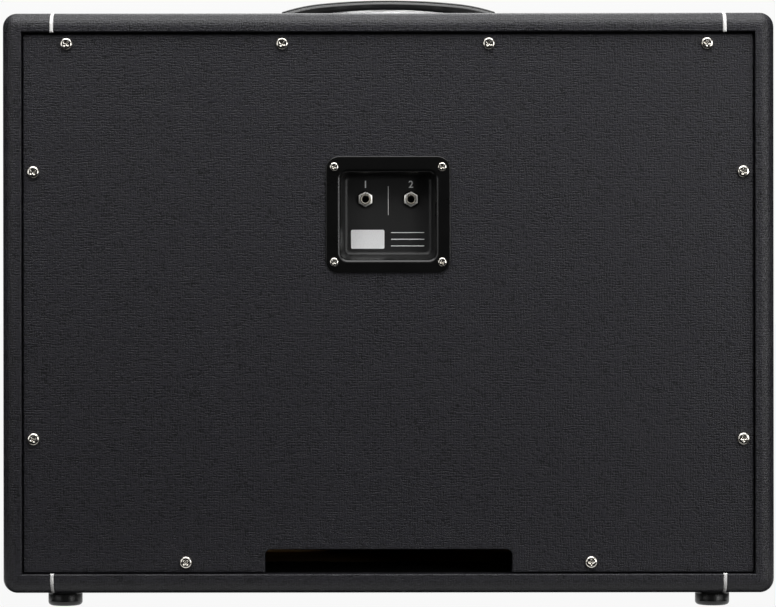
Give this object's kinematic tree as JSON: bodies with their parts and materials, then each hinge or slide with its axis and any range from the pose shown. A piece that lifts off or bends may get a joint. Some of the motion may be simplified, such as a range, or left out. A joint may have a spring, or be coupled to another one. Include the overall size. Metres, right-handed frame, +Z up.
{
  "type": "guitar speaker cabinet",
  "caption": "Wide vinyl-covered guitar speaker cabinet with a ported screwed-on back, recessed jack dish, strap handle, white seam piping, rubber feet and drivers behind a cloth grille.",
  "frame": {"origin": "on the floor under the middle of the cabinet, at the bottom centre of its bounding box", "axes": "+X to the right seen from the front, +Y to the back with the jack dish, +Z up; the grille faces -Y"},
  "size_m": [0.69, 0.301, 0.5582],
  "materials": {
    "plywood": "raw birch plywood",
    "black_ply": "black paint over plywood",
    "black_vinyl": "embossed vinyl covering, satin",
    "white_piping": "smooth white vinyl bead",
    "black_rubber": "moulded, satin",
    "black_plastic": "fine moulded texture",
    "nickel": "polished nickel plate",
    "zinc_steel": "bright zinc plate",
    "jack_metal": "nickel plate, satin",
    "fibre": "brown phenolic fibre",
    "grille_cloth": "woven black grille cloth",
    "hook_pad": "hook and loop tape",
    "chassis_paint": "black powder coat",
    "gasket_board": "pressed board",
    "ferrite": "ground ferrite",
    "cone_paper": "pressed paper pulp",
    "dust_cap_paper": "pressed paper felt",
    "spider_cloth": "resin-stiffened cloth",
    "coil_copper": "enamelled copper",
    "red_wire": "insulation",
    "black_wire": "insulation"
  },
  "bodies": {
    "cabinet": {"top_panel": "plywood", "bottom_panel": "plywood", "left_side_panel": "plywood", "right_side_panel": "plywood", "top_covering": "black_vinyl", "bottom_covering": "black_vinyl", "left_covering": "black_vinyl", "right_covering": "black_vinyl", "seam_piping": "white_piping", "rubber_feet": "black_rubber", "foot_fasteners": "zinc_steel", "back_panel": "plywood", "back_panel_covering": "black_vinyl", "back_cleats": "plywood", "back_panel_screws": "nickel", "jack_dish": "black_plastic", "jack_dish_screws": "nickel", "input_jack_frame": "jack_metal", "link_jack_frame": "jack_metal", "jack_nuts": "nickel", "jack_insulators": "fibre", "jack_solder_tags": "jack_metal", "handle_tongues": "black_rubber", "handle_end_caps": "black_plastic", "handle_fasteners": "zinc_steel", "grille_cloth": "grille_cloth", "grille_frame": "black_ply", "grille_pads": "hook_pad", "grille_piping": "white_piping", "baffle_board": "black_ply", "baffle_cleats": "plywood", "baffle_screws": "zinc_steel", "driver_fasteners": "zinc_steel", "driver_gaskets": "gasket_board", "driver_top_plates": "zinc_steel", "driver_magnets": "ferrite", "driver_yokes": "zinc_steel", "left_driver_chassis": "chassis_paint", "left_driver_surround": "cone_paper", "left_driver_spider": "spider_cloth", "left_driver_terminals": "fibre", "left_driver_tinsel_leads": "coil_copper", "right_driver_chassis": "chassis_paint", "right_driver_surround": "cone_paper", "right_driver_spider": "spider_cloth", "right_driver_terminals": "fibre", "right_driver_tinsel_leads": "coil_copper", "red_wires": "red_wire", "black_wires": "black_wire"},
    "left_cone_assembly": {"left_driver_cone": "cone_paper", "left_driver_dust_cap": "dust_cap_paper", "left_driver_voice_coil": "coil_copper"},
    "right_cone_assembly": {"right_driver_cone": "cone_paper", "right_driver_dust_cap": "dust_cap_paper", "right_driver_voice_coil": "coil_copper"},
    "handle_grip": {"handle_grip": "black_rubber"},
    "input_tip_contact": {"input_tip_contact": "jack_metal"},
    "link_tip_contact": {"link_tip_contact": "jack_metal"}
  },
  "joints": [
    {"name": "left_cone_slide", "type": "slide", "parent": "cabinet", "child": "left_cone_assembly", "axis": [0, 1, 0], "range_m": [-0.002, 0.002], "stiffness_N_per_m": 3000, "deforming": ["left_driver_surround", "left_driver_spider", "left_driver_tinsel_leads"]},
    {"name": "right_cone_slide", "type": "slide", "parent": "cabinet", "child": "right_cone_assembly", "axis": [0, 1, 0], "range_m": [-0.002, 0.002], "stiffness_N_per_m": 3000, "deforming": ["right_driver_surround", "right_driver_spider", "right_driver_tinsel_leads"]},
    {"name": "handle_lift", "type": "slide", "parent": "cabinet", "child": "handle_grip", "axis": [0, 0, 1], "range_m": [0, 0.012], "stiffness_N_per_m": 400, "deforming": ["handle_tongues"]},
    {"name": "input_contact_bend", "type": "hinge", "parent": "cabinet", "child": "input_tip_contact", "pos_m": [0.0205, 0.10235, 0.3788], "axis": [-1, 0, 0], "range_deg": [0, 8], "stiffness_Nm_per_rad": 0.05},
    {"name": "link_contact_bend", "type": "hinge", "parent": "cabinet", "child": "link_tip_contact", "pos_m": [-0.0205, 0.10235, 0.3788], "axis": [-1, 0, 0], "range_deg": [0, 8], "stiffness_Nm_per_rad": 0.05}
  ]
}
